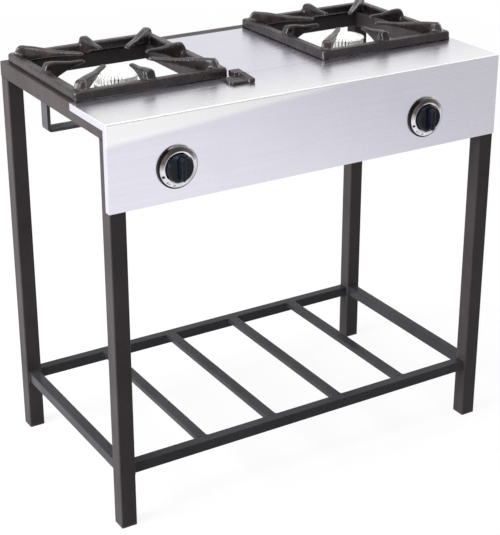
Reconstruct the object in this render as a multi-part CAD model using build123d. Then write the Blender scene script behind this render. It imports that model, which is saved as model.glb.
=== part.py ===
from build123d import *
import math
import os

os.makedirs("parts", exist_ok=True)

# An open-frame gas range with two burners, a low shelf and a folded control panel.
# Sizes are in millimetres. +X is right, +Y is back and +Z is up, seen from the front.
# The origin is on the floor, at the middle of the outline seen from above.

# ---------------------------------------------------------------- driving sizes

# Frame of square tube
overall_width = 800.0
frame_height = 750.0
tube = 30.0
tube_wall = 1.5
tube_corner = 2.5
least_corner = 0.2
end_plug_lip = 3.0
end_plug_depth = 18.0

# Low shelf
shelf_height = 122.0
shelf_tube = 20.0
shelf_tube_wall = 1.2
shelf_tube_corner = 1.5
slat_width = 20.0
slat_thick = 10.0
slat_wall = 1.2
slat_corner = 1.0
slat_count = 4

# Sheet metal
sheet = 1.0
panel_height = 152.0
flange_under_grate = 6.0
side_return = 13.0
side_lip = 13.0
bottom_lip = 15.0
panel_bend = 2.0
panel_seam = 0.5
rear_lip = 14.0
lip_end_gap = 1.0
cleat_size = 20.0
cleat_thick = 2.0
cleat_length = 12.0

# Cast grates
grate_size = 292.0
grate_side_inset = 8.0
grate_front = 130.0
grate_rear_margin = 18.0
grate_bar_width = 18.0
grate_bar_height = 15.0
grate_corner = 7.0
grate_edge = 3.0
grate_foot = 3.0
grate_foot_size = 12.0
grate_foot_inset = 1.0
finger_thick = 10.0
finger_edge = 2.5
finger_tip_radius = 60.0
finger_tip_depth = 8.0
finger_tip_rise = 11.0
finger_hump_rise = 15.0
finger_hump_length = 20.0
finger_tip_bevel = 2.0
finger_slope = 6.0
finger_root_depth = 4.0
finger_root_lift = 2.0
finger_belly_shift = 8.0
finger_belly_rise = 3.0
grate_gap = 1.0
stop_height = 12.0
stop_step = 6.0
stop_width = 22.0
stop_length = 58.0
stop_step_width = 46.0
stop_step_shift = -24.0
stop_step_length = 38.0
stop_lug_length = 22.0

# Burners
bracket_drop = 84.0
bracket_width = 25.0
bracket_thick = 6.0
bracket_bend = 8.0
burner_radius = 40.0
burner_wall = 4.0
burner_floor = 6.0
bowl_over_tube = 24.0
cap_skirt = 15.0
cap_top = 5.0
cap_wall = 5.0
cap_spigot = 4.0
cap_slots = 36
cap_slot_width = 2.4
cap_slot_depth = 14.0
cap_ledge = 2.0
cap_eave = 1.0
cap_dome_edge = 6.0
mixing_tube_radius = 13.0
mixing_tube_wall = 2.0
shutter_room = 12.5
socket_wall = 5.0
socket_rise = 1.0
bell_radius = 20.0
bell_length = 14.0
bell_end = 4.0
air_hole_radius = 5.0
air_holes = 4
shutter_thick = 1.5
shutter_tab = 8.0
burner_bolt_spacing = 44.0
burner_bolt_radius = 3.0
burner_bolt_length = 10.0
bolt_head_thick = 4.0
bolt_head_flats = 10.0

# Gas line
knob_left_inset = 125.0
knob_right_inset = 166.0
knob_drop = 92.0
manifold_radius = 10.65
manifold_wall = 2.6
manifold_drop = 34.0
manifold_overhang = 30.0
manifold_end_inset = 60.0
boss_radius = 11.0
boss_gap = 3.0
inlet_reach = 34.0
inlet_radius = 12.0
inlet_flats = 26.0
inlet_thread_radius = 9.3
inlet_thread_length = 15.0
inlet_thread_floor = 2.0
inlet_bore = 5.0
end_plug_flats = 22.0
end_plug_length = 8.0
hanger_offset = 110.0
hanger_width = 40.0
hanger_thick = 3.0
hanger_tail = 9.0
u_bolt_radius = 3.0
u_bolt_tail = 8.0
nut_thick = 4.0
nut_flats = 10.0
gas_pipe_radius = 4.0
gas_pipe_wall = 1.0
gas_pipe_bend = 20.0
gas_pipe_straight = 9.0
pipe_nut_flats = 16.0
pipe_nut_length = 10.0
nipple_radius = 6.0
nipple_length = 8.0
nipple_grip = 4.5
injector_flats = 14.0
injector_hex = 8.0
injector_neck_radius = 5.0
injector_tip_radius = 4.0
injector_tip_length = 6.0
injector_bore = 2.5
injector_orifice = 0.8
injector_face = 2.0

# Gas tap, measured along the knob's axis
tap_barrel_radius = 13.0
tap_half_length = 15.0
tap_spigot_radius = 8.0
tap_spigot_lift = 1.0
tap_flange_width = 36.0
tap_flange_height = 27.0
tap_flange_thick = 5.0
tap_flange_corner = 4.0
tap_cone_front = 9.0
tap_cone_rear = 7.0
tap_rear_wall = 1.6
tap_port_radius = 2.5
plug_port_radius = 2.0
plug_socket_depth = 4.0
plug_slot_depth = 6.5
cover_thick = 4.0
cover_neck_side = 1.8
cover_neck_length = 10.0
cover_neck_wall = 1.5
cover_screw_spacing = 27.0
stem_radius = 4.0
stem_flat = 1.0
stem_collar_width = 1.9
stem_collar_thick = 2.0
stem_tongue = 3.0
stem_tongue_length = 7.0
stem_tongue_step = 0.5
stem_grip = 12.0
stem_round = 1.0
push_travel = 2.5
spring_wire = 0.8
spring_turns = 3.5

# Dials and knobs, measured out from the panel's face
dial_radius = 37.5
dial_rim = 3.0
dial_rise = 8.5
dial_rim_round = 1.0
dial_lip = 1.6
dial_hole_gap = 2.0
dial_screw_circle = 15.0
knob_radius = 25.0
knob_draft = 1.6
knob_back = 4.8
knob_face = 17.0
knob_reach = 26.0
knob_wall = 2.6
knob_hub_radius = 7.0
knob_hub_front = 14.0
knob_hub_floor = 0.5
knob_edge = 2.0
grip_margin = 2.4
grip_width = 12.0
grip_taper = 10.0

# Small screws
screw_radius = 2.0
screw_head_radius = 3.8
screw_head_thick = 2.2
screw_length = 8.0

# Clearances, and how far a cutter runs past a face
running_gap = 0.05
screw_gap = 0.2
seat_gap = 0.2
thrust_gap = 0.1
socket_gap = 0.3
collar_gap = 0.3
knob_gap = 1.4
panel_hole_gap = 1.0
past = 1.0

# ---------------------------------------------------------------- places

frame_width = overall_width - 2 * sheet
frame_depth = grate_front + grate_size + grate_rear_margin
total_depth = frame_depth + sheet + knob_reach

half_width = frame_width / 2
inside_x = half_width - tube
back_y = total_depth / 2
front_y = back_y - frame_depth
panel_y = front_y - sheet
rail_under = frame_height - tube
leg_x = half_width - tube / 2
leg_front_y = front_y + tube / 2
leg_rear_y = back_y - tube / 2
panel_top = frame_height + sheet
panel_bottom = panel_top - panel_height

grate_x = overall_width / 2 - grate_side_inset - grate_size / 2
grate_y = front_y + grate_front + grate_size / 2
grate_inner_x = grate_x - grate_size / 2
seat_x = grate_inner_x
flange_end_y = front_y + grate_front + flange_under_grate
seat_y = flange_end_y
seat_rear_y = seat_y + tube / 2
grate_base = frame_height + grate_foot
burner_y = grate_y
bracket_top = frame_height - bracket_drop
mixing_tube_height = mixing_tube_radius + socket_wall + socket_rise
burner_body_height = mixing_tube_height + mixing_tube_radius + socket_wall + bowl_over_tube
burner_rim = bracket_top + burner_body_height
tube_axis_z = bracket_top + mixing_tube_height
air_hole_circle = (injector_neck_radius + bell_radius) / 2
bell_y = seat_rear_y + shutter_room
mixing_tube_length = burner_y - bell_y

knob_z = panel_top - knob_drop
knob_x = {
    "left": -overall_width / 2 + knob_left_inset,
    "right": overall_width / 2 - knob_right_inset,
}
side_sign = {"left": -1, "right": 1}
hanger_y = front_y + tube
manifold_y = hanger_y + manifold_radius
manifold_z = knob_z - manifold_drop
boss_height = manifold_drop - tap_barrel_radius - boss_gap
tap_front_y = manifold_y - tap_half_length
tap_rear_y = manifold_y + tap_half_length
cover_front_y = tap_front_y - cover_thick
neck_front_y = cover_front_y - cover_neck_length
collar_y = neck_front_y + cover_neck_wall + thrust_gap
stem_collar_radius = stem_radius + stem_collar_width
cover_bore = stem_collar_radius + collar_gap
cover_neck_radius = cover_bore + cover_neck_side
dial_inner_radius = knob_radius + knob_gap
nipple_end_y = tap_rear_y + nipple_length
injector_hex_y = bell_y - shutter_thick - 2 * seat_gap
injector_end_y = injector_hex_y - injector_hex - nipple_length
hanger_x = {
    "left": knob_x["left"] + hanger_offset,
    "right": knob_x["right"] - hanger_offset,
}

# ---------------------------------------------------------------- basic shapes

TO_RIGHT = Rot(0, 90, 0)
TO_LEFT = Rot(0, -90, 0)
TO_BACK = Rot(-90, 0, 0)
TO_FRONT = Rot(90, 0, 0)


def block(x0, x1, y0, y1, z0, z1):
    """Box given by its limits on each axis."""
    centre = Pos((x0 + x1) / 2, (y0 + y1) / 2, (z0 + z1) / 2)
    return centre * Box(x1 - x0, y1 - y0, z1 - z0)


def hollow_bar(width, height, wall, corner, length):
    """Rectangular tube along +Z from z = 0, with rounded outer corners."""
    inner_corner = max(corner - wall, least_corner)
    section = RectangleRounded(width, height, corner)
    section -= RectangleRounded(width - 2 * wall, height - 2 * wall, inner_corner)
    return extrude(section, length)


def square_tube(length):
    """Frame tube along +Z."""
    return hollow_bar(tube, tube, tube_wall, tube_corner, length)


def rod(radius, length):
    """Round bar along +Z from z = 0."""
    return extrude(Circle(radius), length)


def drill(radius, length):
    """Cutter for a round hole along +Z from z = 0, run past both ends."""
    return Pos(0, 0, -past) * rod(radius, length + 2 * past)


def hexagon(flats, length):
    """Hexagonal bar along +Z from z = 0, by its width across flats."""
    return extrude(RegularPolygon(flats / 2, 6, major_radius=False), length)


def turned(*points):
    """Solid of revolution about +Z from (radius, height) points."""
    return revolve(Plane.XZ * make_face(Polyline(*points, close=True)), Axis.Z)


def screw():
    """Pan-head screw: shank along +Z from z = 0, head below it."""
    head = Pos(0, 0, -screw_head_thick) * rod(screw_head_radius, screw_head_thick)
    rim = head.edges().group_by(Axis.Z)[0]
    return fillet(rim, screw_head_thick / 2) + rod(screw_radius, screw_length)


def screw_hole(depth):
    """Clearance hole for the small screw."""
    return drill(screw_radius + screw_gap, depth)


def thread_hole(depth):
    """Hole that the small screw is screwed into."""
    return drill(screw_radius + running_gap, depth)


parts = {}

# ---------------------------------------------------------------- legs and end plugs

leg_places = {
    "leg_front_left": (-leg_x, leg_front_y),
    "leg_front_right": (leg_x, leg_front_y),
    "leg_rear_left": (-leg_x, leg_rear_y),
    "leg_rear_right": (leg_x, leg_rear_y),
}


def end_plug():
    """Plastic plug: a lip as wide as the tube and a body that fits inside it."""
    lip = extrude(RectangleRounded(tube, tube, tube_corner), end_plug_lip)
    body_width = tube - 2 * (tube_wall + running_gap)
    body = extrude(RectangleRounded(body_width, body_width, tube_corner - tube_wall), end_plug_depth)
    return lip + Pos(0, 0, end_plug_lip) * body


plugs = []
for name, (x, y) in leg_places.items():
    parts[name] = Pos(x, y, end_plug_lip) * square_tube(rail_under - end_plug_lip)
    plugs.append(Pos(x, y, 0) * end_plug())
parts["leg_end_plugs"] = Compound(children=plugs)

# ---------------------------------------------------------------- top frame, mitred at the corners


def mitred_tube(length):
    """Frame tube along +X, centred, with both ends cut at 45 degrees; the long side is at -Y."""
    bar = Pos(-length / 2, 0, 0) * TO_RIGHT * square_tube(length)
    edge = tube / 2
    for side in (-1, 1):
        end = side * length / 2
        beyond = end + side * past
        corner = Polyline(
            (end, -edge), (end - side * tube, edge), (beyond, edge), (beyond, -edge), close=True)
        bar -= Pos(0, 0, -tube) * extrude(make_face(corner), 2 * tube)
    return bar


rail_z = frame_height - tube / 2
middle_y = (front_y + back_y) / 2
parts["top_rail_front"] = Pos(0, leg_front_y, rail_z) * mitred_tube(frame_width)
rear_rail = Pos(0, leg_rear_y, rail_z) * Rot(0, 0, 180) * mitred_tube(frame_width)
parts["top_rail_left"] = Pos(-leg_x, middle_y, rail_z) * Rot(0, 0, -90) * mitred_tube(frame_depth)
parts["top_rail_right"] = Pos(leg_x, middle_y, rail_z) * Rot(0, 0, 90) * mitred_tube(frame_depth)

# ---------------------------------------------------------------- seat rails under the grates and panels

parts["seat_rail_front"] = Pos(-inside_x, seat_y, rail_z) * TO_RIGHT * square_tube(2 * inside_x)
seat_length = back_y - tube - seat_rear_y
for side, sign in side_sign.items():
    seat_place = Pos(sign * seat_x, seat_rear_y, rail_z) * TO_BACK
    parts[f"seat_rail_{side}"] = seat_place * square_tube(seat_length)

# ---------------------------------------------------------------- low shelf


def shelf_bar(length):
    """Shelf rail along +Z."""
    return hollow_bar(shelf_tube, shelf_tube, shelf_tube_wall, shelf_tube_corner, length)


shelf_z = shelf_height - shelf_tube / 2
parts["shelf_rail_front"] = Pos(-inside_x, leg_front_y, shelf_z) * TO_RIGHT * shelf_bar(2 * inside_x)
parts["shelf_rail_rear"] = Pos(-inside_x, leg_rear_y, shelf_z) * TO_RIGHT * shelf_bar(2 * inside_x)
for side, sign in side_sign.items():
    start_y = front_y + tube
    rail = shelf_bar(frame_depth - 2 * tube)
    parts[f"shelf_rail_{side}"] = Pos(sign * leg_x, start_y, shelf_z) * TO_BACK * rail

slat_start_y = leg_front_y + shelf_tube / 2
slat_length = leg_rear_y - leg_front_y - shelf_tube
for number in range(1, slat_count + 1):
    x = -inside_x + 2 * inside_x * number / (slat_count + 1)
    slat = hollow_bar(slat_width, slat_thick, slat_wall, slat_corner, slat_length)
    parts[f"shelf_bar_{number}"] = Pos(x, slat_start_y, shelf_height - slat_thick / 2) * TO_BACK * slat

# ---------------------------------------------------------------- sheet metal

panel_half = overall_width / 2
lip_end_x = inside_x - lip_end_gap


def front_top_edge(shape):
    """Long edge of a block along X where its front face meets its top face."""
    return shape.edges().filter_by(Axis.X).sort_by(lambda edge: edge.center().Y - edge.center().Z)[0]


def folded_panel():
    """Front face, top flange, side lips and returns, and a lip along the bottom."""
    shell = block(-panel_half, panel_half, panel_y, flange_end_y, panel_bottom, panel_top)
    shell = fillet(front_top_edge(shell), panel_bend)
    open_y = flange_end_y + past
    open_z = panel_bottom - past
    room = block(-half_width, half_width, front_y, open_y, open_z, frame_height)
    shell -= fillet(front_top_edge(room), panel_bend - sheet)
    wide = panel_half + past
    return_end_y = panel_y + side_return
    shell -= block(-wide, wide, return_end_y, open_y, open_z, panel_top - side_lip)
    lip_end_y = panel_y + bottom_lip
    return shell + block(-lip_end_x, lip_end_x, panel_y, lip_end_y, panel_bottom, panel_bottom + sheet)


panel = folded_panel()
for x in knob_x.values():
    panel -= Pos(x, panel_y, knob_z) * TO_BACK * drill(stem_radius + panel_hole_gap, sheet)
    for sign in (-1, 1):
        place = Pos(x + sign * dial_screw_circle, panel_y, knob_z) * TO_BACK
        panel -= place * screw_hole(sheet)

cleats = []
screws = []
cleat_y = front_y + (bottom_lip - sheet - cleat_length) / 2
cleat_z = panel_bottom + sheet
cleat_screw_y = cleat_y + cleat_length / 2


def cleat():
    """Angle with its web's outer face on x = 0 and its foot towards +X, standing on z = 0."""
    foot = block(0, cleat_size, 0, cleat_length, 0, cleat_thick)
    return foot + block(0, cleat_thick, 0, cleat_length, 0, cleat_size)


for sign, turn in ((-1, 0), (1, 180)):
    screw_x = sign * (inside_x - cleat_thick - cleat_size / 2)
    centred = Pos(0, -cleat_length / 2, 0) * cleat()
    angle = Pos(sign * inside_x, cleat_screw_y, cleat_z) * Rot(0, 0, turn) * centred
    cleats.append(angle - Pos(screw_x, cleat_screw_y, cleat_z) * thread_hole(cleat_thick))
    panel -= Pos(screw_x, cleat_screw_y, panel_bottom) * screw_hole(sheet)
    screws.append(Pos(screw_x, cleat_screw_y, panel_bottom) * screw())
parts["control_panel"] = panel
parts["panel_cleats"] = Compound(children=cleats)

centre_half = grate_inner_x - grate_gap
centre_front_y = flange_end_y + panel_seam
centre_rear_y = back_y - tube
centre = block(-centre_half, centre_half, centre_front_y, centre_rear_y, frame_height, panel_top)
lip_half = seat_x - tube / 2 - lip_end_gap
lip_low = panel_top - rear_lip
lip_front_y = centre_rear_y - sheet
centre += block(-lip_half, lip_half, lip_front_y, centre_rear_y, lip_low, panel_top)
for sign in (-1, 1):
    place = Pos(sign * lip_half / 2, lip_front_y, (lip_low + frame_height) / 2) * TO_BACK
    centre -= place * screw_hole(sheet)
    rear_rail -= place * thread_hole(sheet + tube_wall)
    screws.append(place * screw())
parts["centre_panel"] = centre
parts["top_rail_rear"] = rear_rail

# Stepped lug that keeps the left grate in its place
stop_x = -grate_inner_x + grate_gap + lip_end_gap
lug = block(
    stop_x, stop_x + stop_width, flange_end_y - stop_lug_length, flange_end_y,
    panel_top, panel_top + stop_height)
step_x = stop_x + stop_step_shift
step_y = flange_end_y - stop_length
lug += block(
    step_x, step_x + stop_step_width, step_y, step_y + stop_step_length,
    panel_top, panel_top + stop_step)
parts["grate_stop"] = lug

# ---------------------------------------------------------------- drop brackets

bracket_low = bracket_top - bracket_thick


def bent_block(x0, x1, z0, z1, width, bend):
    """Block across Y with its two lower long edges rounded."""
    shape = block(x0, x1, -width / 2, width / 2, z0, z1)
    return fillet(shape.edges().filter_by(Axis.Y).group_by(Axis.Z)[0], bend)


def drop_bracket(x0, x1):
    """Flat bar bent to a U, its two legs centred on x0 and x1, under the top rails."""
    half = bracket_thick / 2
    outside = bent_block(x0 - half, x1 + half, bracket_low, rail_under, bracket_width, bracket_bend)
    inside = bent_block(
        x0 + half, x1 - half, bracket_top, rail_under + past, bracket_width + 2 * past,
        bracket_bend - bracket_thick)
    return Pos(0, burner_y, 0) * (outside - inside)


# ---------------------------------------------------------------- burners


def burner_body():
    """Cast bowl with a socket for the mixing tube, standing on z = 0 at its own axis."""
    bowl = rod(burner_radius, burner_body_height)
    socket_front_y = -burner_radius - socket_wall
    socket = Pos(0, socket_front_y, mixing_tube_height) * TO_BACK
    bowl += socket * rod(mixing_tube_radius + socket_wall, burner_radius / 2)
    bowl -= Pos(0, 0, burner_floor) * rod(burner_radius - burner_wall, burner_body_height)
    bowl -= socket * drill(mixing_tube_radius + running_gap, burner_radius - socket_wall)
    for sign in (-1, 1):
        bolt_hole = drill(burner_bolt_radius + running_gap, burner_floor)
        bowl -= Pos(sign * burner_bolt_spacing / 2, 0, 0) * bolt_hole
    return bowl


def burner_cap():
    """Slotted crown: a spigot that drops into the bowl, a skirt and a domed top with slots through both."""
    outer = burner_radius
    skirt = outer - cap_ledge
    eave = outer - cap_eave
    cavity = skirt - cap_wall
    spigot = burner_radius - burner_wall - running_gap
    dome = cap_skirt + cap_top
    crown = turned(
        (0, cap_skirt), (cavity, cap_skirt), (cavity, -cap_spigot), (spigot, -cap_spigot), (spigot, 0),
        (outer, 0), (outer, cap_ledge), (skirt, cap_ledge), (skirt, cap_skirt), (eave, cap_skirt),
        (eave, cap_skirt + cap_ledge), (outer - cap_dome_edge, dome - cap_eave), (outer / 2, dome), (0, dome))
    slot = block(
        outer - cap_slot_depth, outer + past, -cap_slot_width / 2, cap_slot_width / 2, cap_ledge, dome + past)
    cutters = [Rot(0, 0, 360 * number / cap_slots) * slot for number in range(cap_slots)]
    return crown - cutters


def air_hole_pattern(depth):
    """Cutters for the primary air holes."""
    hole = Pos(air_hole_circle, 0, 0) * drill(air_hole_radius, depth)
    step = 360 / air_holes
    return [Rot(0, 0, step * (number + 0.5)) * hole for number in range(air_holes)]


def mixing_tube():
    """Tube along +Z from the bell's end wall at z = 0 to inside the bowl."""
    inner = mixing_tube_radius - mixing_tube_wall
    bell_inner = bell_radius - mixing_tube_wall
    reach = mixing_tube_length - burner_radius + burner_wall
    taper = bell_length + bell_radius - mixing_tube_radius
    neck = injector_neck_radius + running_gap
    tube_shape = turned(
        (neck, 0), (bell_radius, 0), (bell_radius, bell_length), (mixing_tube_radius, taper),
        (mixing_tube_radius, reach), (inner, reach), (inner, taper), (bell_inner, bell_length),
        (bell_inner, bell_end), (neck, bell_end))
    return tube_shape - air_hole_pattern(bell_end)


def air_shutter():
    """Disc with the same holes as the bell's end wall, and a tab to turn it by."""
    disc = rod(bell_radius, shutter_thick)
    tab_end = -bell_radius - shutter_tab
    disc += block(-shutter_tab / 2, shutter_tab / 2, tab_end, -bell_radius + past, 0, shutter_thick)
    disc -= drill(injector_neck_radius + running_gap, shutter_thick)
    return disc - air_hole_pattern(shutter_thick)


def injector():
    """Brass injector along +Z: inlet nipple, hexagon, neck and drilled tip."""
    hex_end = nipple_length + injector_hex
    neck_end = hex_end + shutter_thick + 2 * seat_gap + bell_end
    tip_end = neck_end + injector_tip_length
    shape = rod(nipple_radius, nipple_length)
    shape += Pos(0, 0, nipple_length) * hexagon(injector_flats, injector_hex)
    shape += Pos(0, 0, hex_end) * rod(injector_neck_radius, neck_end - hex_end)
    shape += Pos(0, 0, neck_end) * rod(injector_tip_radius, injector_tip_length)
    shape -= Pos(0, 0, -past) * rod(injector_bore, tip_end - injector_face + past)
    return shape - drill(injector_orifice, tip_end)


def hex_bolt():
    """Bolt with its shank along +Z from z = 0 and its head below."""
    head = Pos(0, 0, -bolt_head_thick) * hexagon(bolt_head_flats, bolt_head_thick)
    return head + rod(burner_bolt_radius, burner_bolt_length)


# ---------------------------------------------------------------- grates


def finger(root):
    """Web along +X from its tip to past the frame bar's inner face at x = root."""
    top = grate_bar_height + finger_hump_rise
    tip_top = grate_bar_height + finger_tip_rise
    tip_low = tip_top - finger_tip_depth
    tip = finger_tip_radius
    outer = root + grate_bar_width / 2
    hump = root - finger_slope
    heel = root - finger_root_depth
    upper = Polyline(
        (tip, tip_low), (tip, tip_top - finger_tip_bevel), (tip + finger_tip_bevel, tip_top),
        (hump - finger_hump_length, top), (hump, top), (outer, grate_bar_height - past),
        (outer, finger_root_lift), (heel, finger_root_lift))
    belly = ((tip + root) / 2 + finger_belly_shift, tip_low - finger_belly_rise)
    lower = ThreePointArc((heel, finger_root_lift), belly, (tip, tip_low))
    outline = Plane.XZ * make_face(upper.edges() + lower.edges())
    web = extrude(outline, finger_thick / 2, both=True)
    high = web.edges().filter_by(lambda edge: edge.center().Z > grate_bar_height)
    ridge = high.filter_by(lambda edge: abs(edge.center().Y) > finger_thick / 4)
    return fillet(ridge, finger_edge)


def grate():
    """Casting with its bar's underside on z = 0: square bar, eight fingers and four feet."""
    inner = grate_size - 2 * grate_bar_width
    ring = extrude(RectangleRounded(grate_size, grate_size, grate_corner), grate_bar_height)
    opening = extrude(RectangleRounded(inner, inner, grate_corner), grate_bar_height + 2 * past)
    ring -= Pos(0, 0, -past) * opening
    ring = fillet(ring.edges().group_by(Axis.Z)[-1], grate_edge)
    middle_root = inner / 2
    corner_root = inner / 2 * math.sqrt(2) - grate_corner * (math.sqrt(2) - 1)
    for number in range(4):
        ring += Rot(0, 0, 90 * number) * finger(middle_root)
        ring += Rot(0, 0, 90 * number + 45) * finger(corner_root)
    foot_place = (grate_size - grate_foot_size) / 2 - grate_foot_inset
    for x_sign in (-1, 1):
        for y_sign, height in ((-1, grate_foot - sheet), (1, grate_foot)):
            foot = extrude(Rectangle(grate_foot_size, grate_foot_size), height)
            ring += Pos(x_sign * foot_place, y_sign * foot_place, -height) * foot
    return ring


# ---------------------------------------------------------------- gas taps, dials and knobs


def cone_radius(y):
    """Radius of the tap's tapered bore at a place along its axis."""
    share = (y - tap_front_y) / (2 * tap_half_length - tap_rear_wall)
    return tap_cone_front + (tap_cone_rear - tap_cone_front) * share


plug_front_y = tap_front_y + thrust_gap
plug_rear_y = tap_rear_y - tap_rear_wall - seat_gap
slot_end_y = plug_front_y + plug_socket_depth + plug_slot_depth
stem_end_y = plug_front_y + socket_gap


def flange_plate(thick):
    """Plate of the tap's flange outline, along +Z from z = 0."""
    return extrude(RectangleRounded(tap_flange_width, tap_flange_height, tap_flange_corner), thick)


def valve_body():
    """Tap body with its axis along +Y at x = z = 0: tapered bore, inlet spigot and outlet nipple."""
    barrel = Pos(0, tap_front_y, 0) * TO_BACK * rod(tap_barrel_radius, 2 * tap_half_length)
    flange = Pos(0, tap_front_y, 0) * TO_BACK * flange_plate(tap_flange_thick)
    spigot_low = -manifold_drop + manifold_radius + tap_spigot_lift
    spigot = Pos(0, manifold_y, spigot_low) * rod(tap_spigot_radius, -spigot_low)
    nipple = Pos(0, tap_rear_y, 0) * TO_BACK * rod(nipple_radius, nipple_length)
    body = barrel + flange + spigot + nipple
    open_end = -tap_half_length - past
    closed_end = tap_half_length - tap_rear_wall
    bore = turned(
        (0, open_end), (tap_cone_front, open_end), (tap_cone_front, -tap_half_length),
        (tap_cone_rear, closed_end), (0, closed_end))
    middle = Pos(0, manifold_y, 0)
    body -= middle * TO_BACK * bore
    body -= middle * TO_BACK * rod(tap_port_radius, tap_half_length + nipple_length + past)
    body -= Pos(0, manifold_y, spigot_low - past) * rod(tap_port_radius, -spigot_low + past)
    for sign in (-1, 1):
        place = Pos(sign * cover_screw_spacing / 2, tap_front_y, 0) * TO_BACK
        body -= place * thread_hole(tap_flange_thick)
    return body


def valve_cover():
    """Cover plate with a neck that holds the stem and its return spring."""
    plate = Pos(0, cover_front_y, 0) * TO_BACK * flange_plate(cover_thick)
    neck_end = Pos(0, neck_front_y, 0) * TO_BACK
    cover = plate + neck_end * rod(cover_neck_radius, cover_neck_length)
    cover -= neck_end * Pos(0, 0, cover_neck_wall) * rod(cover_bore, cover_neck_length + cover_thick)
    cover -= neck_end * drill(stem_radius + running_gap, cover_neck_wall)
    for sign in (-1, 1):
        screw_place = Pos(sign * cover_screw_spacing / 2, cover_front_y, 0) * TO_BACK
        cover -= screw_place * screw_hole(cover_thick)
    return cover


def valve_plug():
    """Tapered plug that turns in the body, slotted for the stem and drilled for the gas."""
    front = cone_radius(plug_front_y) - running_gap
    rear = cone_radius(plug_rear_y) - running_gap
    length = plug_rear_y - plug_front_y
    cone = Pos(0, plug_front_y, 0) * TO_BACK * turned((0, 0), (front, 0), (rear, length), (0, length))
    reach = stem_radius + socket_gap
    cone -= Pos(0, plug_front_y - past, 0) * TO_BACK * rod(reach, plug_socket_depth + past)
    half_slot = stem_tongue / 2 + running_gap
    cone -= block(-half_slot, half_slot, plug_front_y + past, slot_end_y, -reach, reach)
    cone -= Pos(0, manifold_y, 0) * TO_BACK * rod(plug_port_radius, length)
    low = tap_cone_front + past
    return cone - Pos(0, manifold_y, -low) * rod(plug_port_radius, low)


def flat_rod(radius, flat, length):
    """Round bar along +Z with one flat at its top side."""
    return rod(radius, length) - block(
        -radius, radius, radius - flat, radius + past, -past, length + past)


def valve_stem():
    """Stem: flat end in the knob's hub, collar behind the cover's front wall, tongue in the plug."""
    flat_end = panel_y - stem_round
    front = flat_end - stem_grip + stem_round
    shaft = Pos(0, flat_end, 0) * TO_FRONT * flat_rod(stem_radius, stem_flat, flat_end - front)
    shaft += Pos(0, flat_end, 0) * TO_BACK * rod(stem_radius, stem_end_y - flat_end)
    shaft += Pos(0, collar_y, 0) * TO_BACK * rod(stem_collar_radius, stem_collar_thick)
    half_tongue = stem_tongue / 2
    tongue_end_y = stem_end_y + stem_tongue_length
    reach = stem_radius - stem_tongue_step
    return shaft + block(-half_tongue, half_tongue, stem_end_y, tongue_end_y, -reach, reach)


def stem_spring():
    """Return spring round the stem, drawn at its pushed-in length, its rear end on the plug."""
    rear = plug_front_y - thrust_gap
    front = collar_y + stem_collar_thick + push_travel + thrust_gap
    height = rear - front - spring_wire
    mean = (stem_radius + cover_bore) / 2
    coil = Helix(height / spring_turns, height, mean)
    wire = sweep(Plane(coil @ 0, z_dir=coil % 0) * Circle(spring_wire / 2), coil)
    return Pos(0, front + spring_wire / 2, 0) * TO_BACK * wire


def dial():
    """Pressed metal dial: rim, sloping face, inner lip and the floor under the knob."""
    inner = dial_inner_radius
    hole = stem_radius + dial_hole_gap
    shell = turned(
        (hole, 0), (dial_radius, 0), (dial_radius, dial_rim),
        (dial_radius - dial_rim_round, dial_rim + dial_rim_round), (inner + dial_lip, dial_rise),
        (inner, dial_rise), (inner, sheet), (hole, sheet))
    for sign in (-1, 1):
        shell -= Pos(sign * dial_screw_circle, 0, 0) * screw_hole(sheet)
    return Pos(0, panel_y, 0) * TO_FRONT * shell


def knob():
    """Moulded knob: hollow skirt, domed face, grip bar and a hub with a flat-sided hole."""
    face_radius = knob_radius - knob_draft
    cavity = knob_radius - knob_wall
    skirt = turned(
        (0, knob_hub_front), (cavity - knob_draft, knob_hub_front), (cavity, knob_back),
        (knob_radius, knob_back), (face_radius, knob_face - knob_edge),
        (face_radius - knob_edge, knob_face), (0, knob_face))
    hub = Pos(0, 0, knob_back) * rod(knob_hub_radius, knob_hub_front - knob_back)
    hole_end = stem_grip + knob_hub_floor
    hole = Pos(0, 0, knob_back - past) * flat_rod(
        stem_radius + running_gap, stem_flat, hole_end - knob_back + past)
    grip_length = 2 * (face_radius - grip_margin)
    grip_base = knob_face - past
    grip = Pos(0, 0, grip_base) * extrude(
        SlotOverall(grip_length, grip_width, rotation=90), knob_reach - grip_base, taper=grip_taper)
    grip = fillet(grip.edges().group_by(Axis.Z)[-1], knob_edge)
    return Pos(0, panel_y, 0) * TO_FRONT * (skirt + hub + grip - hole)


# ---------------------------------------------------------------- pieces that come in a left and a right one

covers = []
springs = []
pipe_nuts = []
injectors = []
burner_bolts = []


def pipe_nut(direction, y):
    """Nut with its closed end at y, where the pipe leaves it along direction (1 back, -1 front)."""
    turn = TO_BACK if direction > 0 else TO_FRONT
    nut = hexagon(pipe_nut_flats, pipe_nut_length)
    nut -= Pos(0, 0, -past) * rod(nipple_radius + running_gap, nipple_grip + seat_gap + past)
    nut -= drill(gas_pipe_radius + running_gap, pipe_nut_length)
    return Pos(0, y - direction * pipe_nut_length, 0) * turn * nut


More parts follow.
